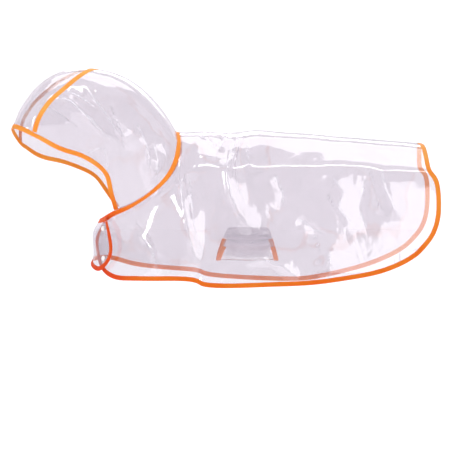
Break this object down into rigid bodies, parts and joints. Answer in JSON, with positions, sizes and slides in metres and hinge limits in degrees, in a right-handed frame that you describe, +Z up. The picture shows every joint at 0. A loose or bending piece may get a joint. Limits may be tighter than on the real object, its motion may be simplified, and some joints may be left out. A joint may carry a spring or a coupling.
{
  "type": "dog raincoat",
  "caption": "Clear film raincoat for a dog in its worn shape, with a hood, orange bound edges, a lapped snap front and a belly strap.",
  "frame": {"origin": "on the back's ridge just behind the neck seam, where the wearer's withers carry the coat", "axes": "+X towards the wearer's rear, +Z up, -Y towards the wearer's left side"},
  "size_m": [0.8625, 0.2965, 0.4489],
  "materials": {
    "film": "clear glossy film",
    "binding": "woven bias tape",
    "snap": "moulded white plastic"
  },
  "bodies": {
    "root": {"body_panel": "film", "hood_left": "film", "hood_right": "film", "hood_crown": "film", "belly_strap": "film", "hem_binding": "binding", "face_binding": "binding", "neck_binding": "binding", "crown_binding_left": "binding", "crown_binding_right": "binding", "belly_binding_front": "binding", "belly_binding_rear": "binding", "snap_upper_cap": "snap", "snap_upper_stud": "snap", "snap_upper_back": "snap", "snap_lower_cap": "snap", "snap_lower_stud": "snap", "snap_lower_back": "snap"}
  },
  "joints": []
}
